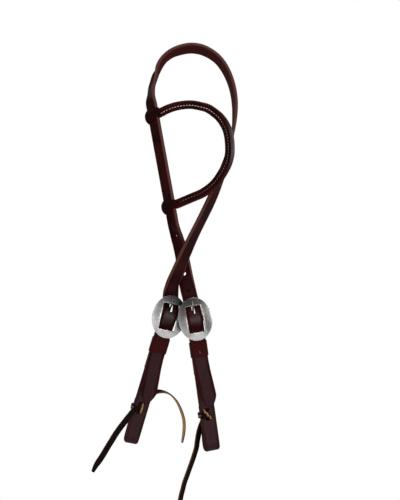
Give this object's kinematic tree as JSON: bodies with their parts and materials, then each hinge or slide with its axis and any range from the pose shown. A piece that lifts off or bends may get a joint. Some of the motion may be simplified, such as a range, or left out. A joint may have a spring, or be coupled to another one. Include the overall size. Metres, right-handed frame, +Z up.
{
  "type": "western headstall",
  "caption": "Leather slip-ear headstall with a rolled ear piece, domed steel cart buckles, sliding keepers and folded bit ends closed by knotted laces.",
  "frame": {"origin": "underside of the crown's top, where the strap rests on the poll", "axes": "+Z up along the hanging headstall, -Y towards the viewer at the front, +X to the viewer's right"},
  "size_m": [0.1788, 0.0419, 0.5777],
  "materials": {
    "strap_leather": "dark oiled burgundy leather with burnished edges",
    "cheek_leather": "dark oiled leather, slightly lighter",
    "ear_leather": "soft rolled leather with a satin sheen",
    "lace_leather": "near-black latigo lace with a tan flesh side",
    "core_cord": "natural fibre cord inside the ear's roll",
    "white_thread": "waxed white thread",
    "steel": "satin brushed stainless steel"
  },
  "bodies": {
    "strapwork": {"crown_strap": "strap_leather", "left_bit_end_strap": "cheek_leather", "right_bit_end_strap": "cheek_leather", "left_chape_stitches": "white_thread", "right_chape_stitches": "white_thread", "left_tie_lace": "lace_leather", "right_tie_lace": "lace_leather", "left_front_tail": "lace_leather", "left_back_tail": "lace_leather", "right_front_tail": "lace_leather"},
    "ear": {"ear_cover": "ear_leather", "ear_core": "core_cord", "ear_stitches": "white_thread", "ear_upper_loop": "ear_leather", "ear_lower_loop": "ear_leather"},
    "left_buckle": {"left_buckle_frame": "steel", "left_buckle_bar": "steel"},
    "left_tongue": {"left_buckle_tongue": "steel"},
    "left_keeper_band": {"left_keeper": "strap_leather"},
    "right_buckle": {"right_buckle_frame": "steel", "right_buckle_bar": "steel"},
    "right_tongue": {"right_buckle_tongue": "steel"},
    "right_keeper_band": {"right_keeper": "strap_leather", "right_keeper_stitch": "white_thread"}
  },
  "joints": [
    {"name": "ear_slide", "type": "slide", "parent": "strapwork", "child": "ear", "axis": [0.179, 0, -0.9838], "range_m": [0, 0.008]},
    {"name": "left_buckle_rock", "type": "hinge", "parent": "strapwork", "child": "left_buckle", "pos_m": [-0.03, 0.0055, -0.32502], "axis": [0.9686, 0.1392, -0.2059], "range_deg": [-2, 2]},
    {"name": "left_tongue_lift", "type": "hinge", "parent": "left_buckle", "child": "left_tongue", "pos_m": [-0.03, 0.0055, -0.32502], "axis": [0.9686, 0.1392, -0.2059], "range_deg": [0, 4]},
    {"name": "left_keeper_slide", "type": "slide", "parent": "strapwork", "child": "left_keeper_band", "axis": [-0.2864, -0.0114, -0.958], "range_m": [0, 0.008]},
    {"name": "right_buckle_rock", "type": "hinge", "parent": "strapwork", "child": "right_buckle", "pos_m": [0.00182, -0.0065, -0.32796], "axis": [0.9743, 0.1392, 0.1771], "range_deg": [-2, 2]},
    {"name": "right_tongue_lift", "type": "hinge", "parent": "right_buckle", "child": "right_tongue", "pos_m": [0.00182, -0.0065, -0.32796], "axis": [0.9743, 0.1392, 0.1771], "range_deg": [0, 4]},
    {"name": "right_keeper_slide", "type": "slide", "parent": "strapwork", "child": "right_keeper_band", "axis": [0.1378, -0.0058, -0.9904], "range_m": [0, 0.008]}
  ]
}
